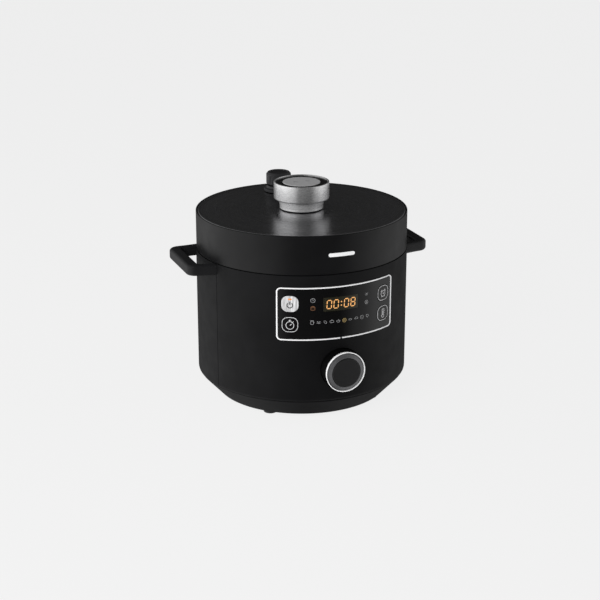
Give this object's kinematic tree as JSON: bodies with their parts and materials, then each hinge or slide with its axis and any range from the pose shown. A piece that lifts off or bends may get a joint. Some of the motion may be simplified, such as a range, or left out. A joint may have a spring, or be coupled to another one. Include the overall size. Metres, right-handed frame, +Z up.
{
  "type": "electric pressure cooker",
  "caption": "Round counter-top electric pressure cooker with a hinged lid, a turning lid lock knob, side handles, a curved control panel and a front dial",
  "frame": {"origin": "on the cooker's axis, at the surface that its feet stand on", "axes": "+Z up, -Y to the front with the dial and panel, +X to the right seen from the front"},
  "size_m": [0.35, 0.33, 0.2986],
  "materials": {
    "black_plastic": "satin moulded black",
    "gloss_black": "glossy black",
    "brushed_black": "black, fine circular brushing",
    "silver": "circular brushed silver",
    "chrome": "bright plated",
    "grey_plastic": "satin grey",
    "steel": "satin steel",
    "aluminium": "plain cast and turned",
    "pot_coating": "dark non-stick coating",
    "rubber": "matt black",
    "silicone": "translucent white silicone",
    "board_green": "solder mask",
    "display_glass": "dark tinted window",
    "clear_plastic": "clear moulded plastic"
  },
  "bodies": {
    "cooker_body": {"base_shell": "black_plastic", "front_shell": "black_plastic", "rear_shell": "black_plastic", "left_handle": "black_plastic", "right_handle": "black_plastic", "foot_1": "rubber", "foot_2": "rubber", "foot_3": "rubber", "foot_4": "rubber", "base_screw_1": "steel", "base_screw_2": "steel", "base_screw_3": "steel", "base_screw_4": "steel", "top_collar": "black_plastic", "pressure_frame": "aluminium", "heating_plate": "aluminium", "inner_pot": "pot_coating", "power_board": "board_green", "control_board": "board_green", "display_module": "gloss_black", "control_panel": "gloss_black", "display_window": "display_glass", "panel_frame": "chrome", "inlet_socket": "black_plastic", "hinge_bracket": "black_plastic", "hinge_pin": "steel", "encoder": "grey_plastic", "cup_rail": "black_plastic", "sensor_spring": "steel"},
    "lid": {"lid_cover": "black_plastic", "lid_plate": "brushed_black", "lid_liner": "black_plastic", "pressure_lid": "steel", "sealing_ring": "silicone", "vent_pipe": "steel", "vent_filter": "steel", "steam_valve_base": "black_plastic", "float_guide": "steel", "hinge_arm": "black_plastic", "lid_mark": "silver"},
    "lock_knob": {"knob_ring": "silver", "knob_cap": "gloss_black", "knob_disc": "grey_plastic", "knob_neck": "silver", "drive_shaft": "steel", "locking_ring": "steel"},
    "steam_valve": {"steam_valve_cap": "black_plastic"},
    "float_valve": {"float_pin": "silver"},
    "dial": {"dial_body": "black_plastic", "dial_rim": "chrome", "dial_face": "grey_plastic", "dial_shaft": "steel"},
    "dial_push": {"dial_button": "gloss_black"},
    "power_push": {"power_key": "silver"},
    "timer_push": {"timer_key": "gloss_black"},
    "preset_push": {"preset_key": "gloss_black"},
    "temperature_push": {"temperature_key": "gloss_black"},
    "sensor": {"temperature_sensor": "aluminium"},
    "cup": {"condensate_cup": "clear_plastic"}
  },
  "joints": [
    {"name": "lid_hinge", "type": "hinge", "parent": "cooker_body", "child": "lid", "pos_m": [0, 0.1535, 0.201], "axis": [-1, 0, 0], "range_deg": [0, 85]},
    {"name": "lock_knob_turn", "type": "hinge", "parent": "lid", "child": "lock_knob", "pos_m": [0, 0, 0.2749], "axis": [0, 0, 1], "range_deg": [0, 30]},
    {"name": "steam_valve_turn", "type": "hinge", "parent": "lid", "child": "steam_valve", "pos_m": [0.004, 0.1015, 0.272], "axis": [0, 0, 1], "range_deg": [0, 45]},
    {"name": "float_rise", "type": "slide", "parent": "lid", "child": "float_valve", "axis": [0, 0, 1], "range_m": [0, 0.005]},
    {"name": "dial_turn", "type": "hinge", "parent": "cooker_body", "child": "dial", "pos_m": [0, -0.145, 0.0788], "axis": [0, -1, 0], "continuous": true},
    {"name": "dial_press", "type": "slide", "parent": "dial", "child": "dial_push", "axis": [0, 1, 0], "range_m": [0, 0.0012], "stiffness_N_per_m": 200, "springref_m": -0.001},
    {"name": "power_press", "type": "slide", "parent": "cooker_body", "child": "power_push", "axis": [0.4544, 0.8908, 0], "range_m": [0, 0.0006], "stiffness_N_per_m": 150, "springref_m": -0.0008},
    {"name": "timer_press", "type": "slide", "parent": "cooker_body", "child": "timer_push", "axis": [0.4544, 0.8908, 0], "range_m": [0, 0.0006], "stiffness_N_per_m": 150, "springref_m": -0.0008},
    {"name": "preset_press", "type": "slide", "parent": "cooker_body", "child": "preset_push", "axis": [-0.4544, 0.8908, 0], "range_m": [0, 0.0006], "stiffness_N_per_m": 150, "springref_m": -0.0008},
    {"name": "temperature_press", "type": "slide", "parent": "cooker_body", "child": "temperature_push", "axis": [-0.4544, 0.8908, 0], "range_m": [0, 0.0006], "stiffness_N_per_m": 150, "springref_m": -0.0008},
    {"name": "sensor_travel", "type": "slide", "parent": "cooker_body", "child": "sensor", "axis": [0, 0, -1], "range_m": [0, 0.002], "stiffness_N_per_m": 300, "springref_m": -0.002, "deforming": ["sensor_spring"]},
    {"name": "cup_pull", "type": "slide", "parent": "cooker_body", "child": "cup", "axis": [0, 1, 0], "range_m": [0, 0.025]}
  ]
}
